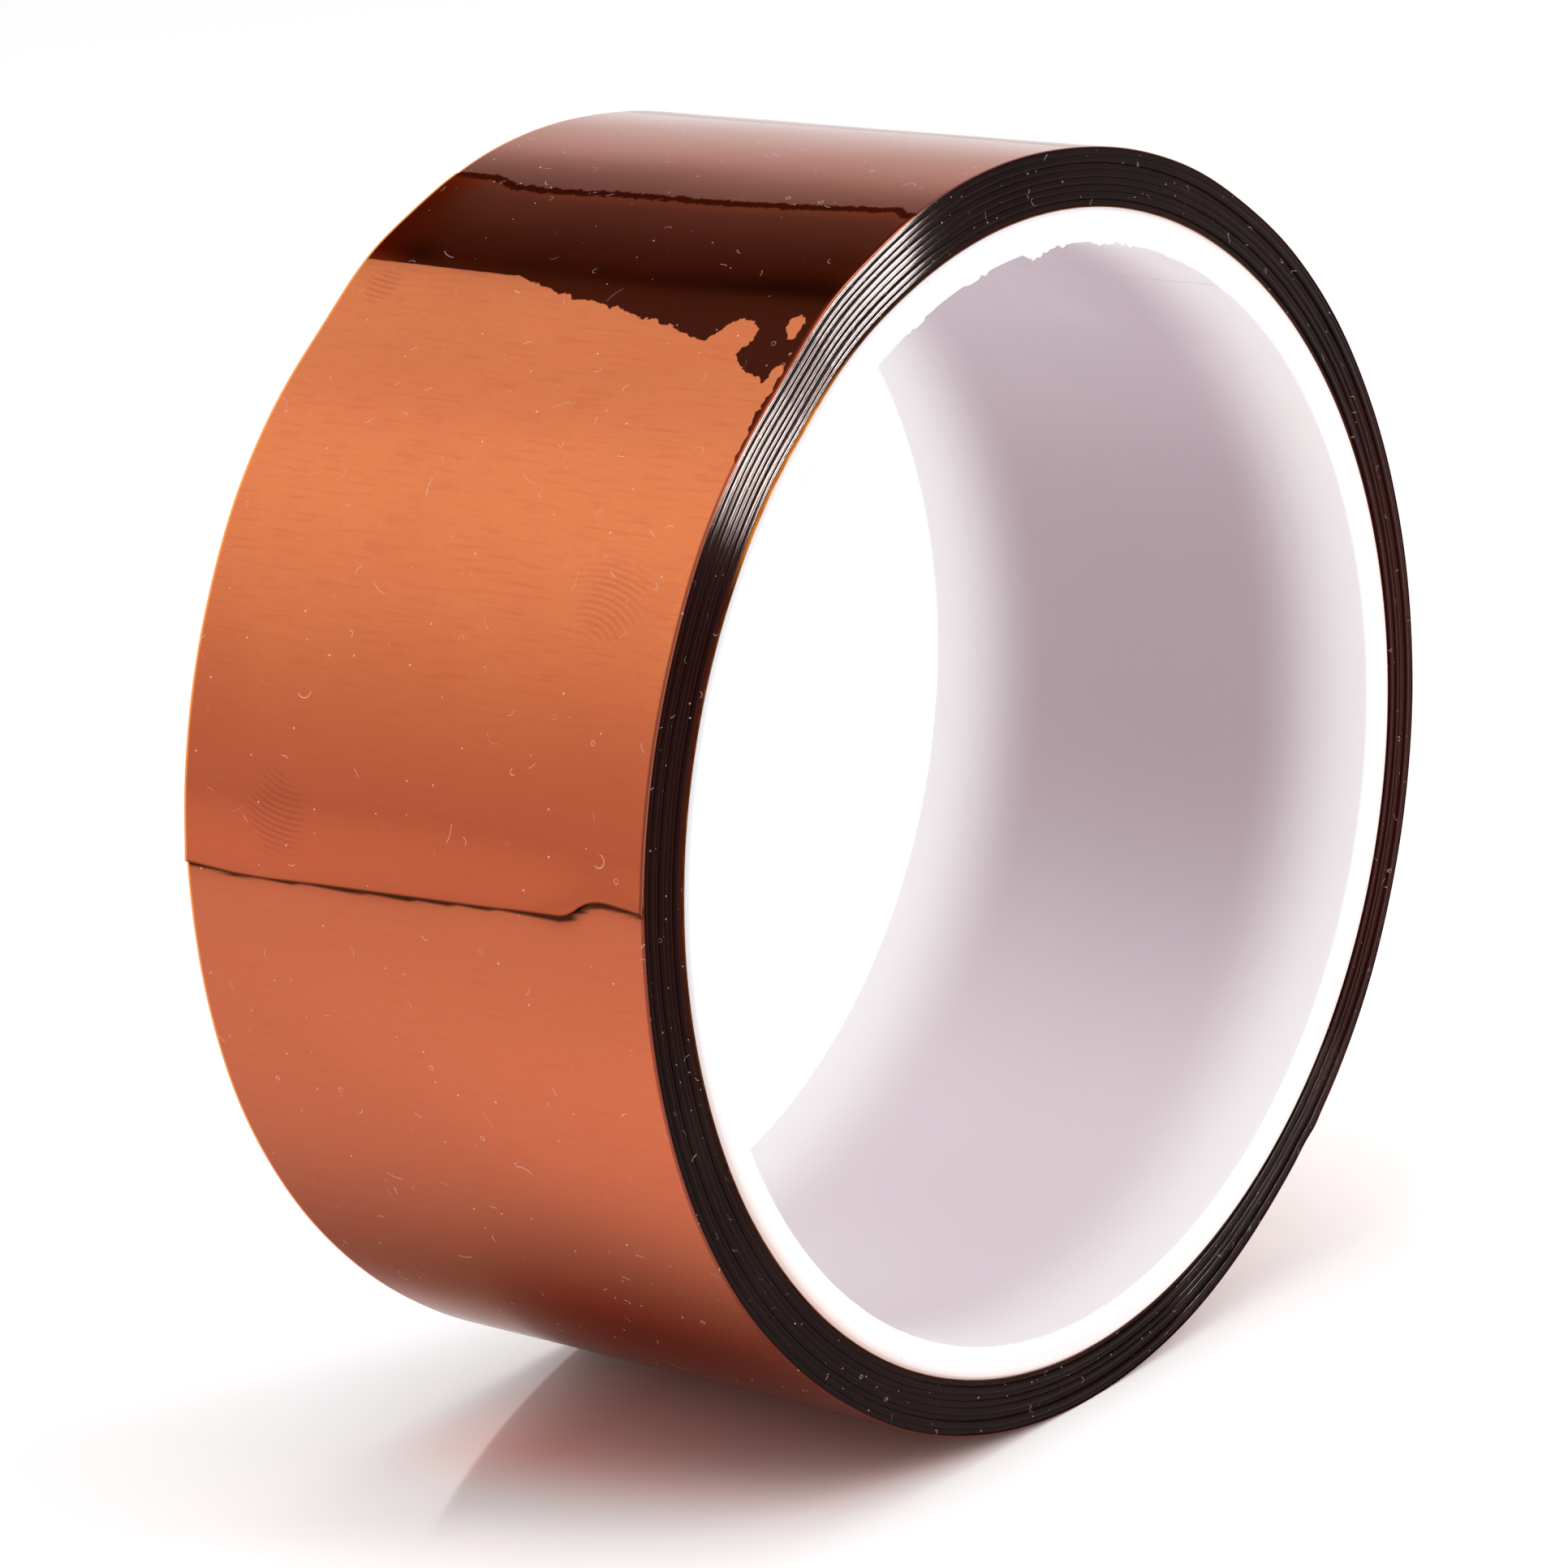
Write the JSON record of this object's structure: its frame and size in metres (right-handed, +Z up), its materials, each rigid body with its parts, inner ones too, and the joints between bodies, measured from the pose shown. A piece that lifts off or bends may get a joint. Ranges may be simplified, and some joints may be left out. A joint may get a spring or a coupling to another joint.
{
  "type": "film tape roll",
  "caption": "Roll of glossy amber film tape wound on a white plastic core, standing on its rim, with a loose end that peels away from the roll.",
  "frame": {"origin": "centre of the core's bore, halfway along the roll", "axes": "+Y along the bore axis, towards the back face; +Z up, with the roll standing on its rim; the loose end hangs on the -X side"},
  "size_m": [0.089, 0.0406, 0.089],
  "materials": {
    "core_plastic": "satin, milky white",
    "film": "glossy amber film",
    "tape_edge": "slit film edges, dark and glossy with fine lines",
    "adhesive": "clear tacky adhesive over amber film"
  },
  "bodies": {
    "roll": {"core": "core_plastic", "first_turn": "adhesive", "turns_1": "tape_edge", "turns_2": "tape_edge", "turns_3": "tape_edge", "turns_4": "tape_edge", "turns_5": "tape_edge", "turns_6": "tape_edge", "turns_7": "tape_edge", "turns_8": "tape_edge", "outer_turn": "film"},
    "tape_end": {"tape_end_film": "film", "tape_end_adhesive": "adhesive"}
  },
  "joints": [
    {"name": "end_peel", "type": "hinge", "parent": "roll", "child": "tape_end", "pos_m": [-0.01302, 0, 0.04258], "axis": [0, 1, 0], "range_deg": [0, 80]}
  ]
}
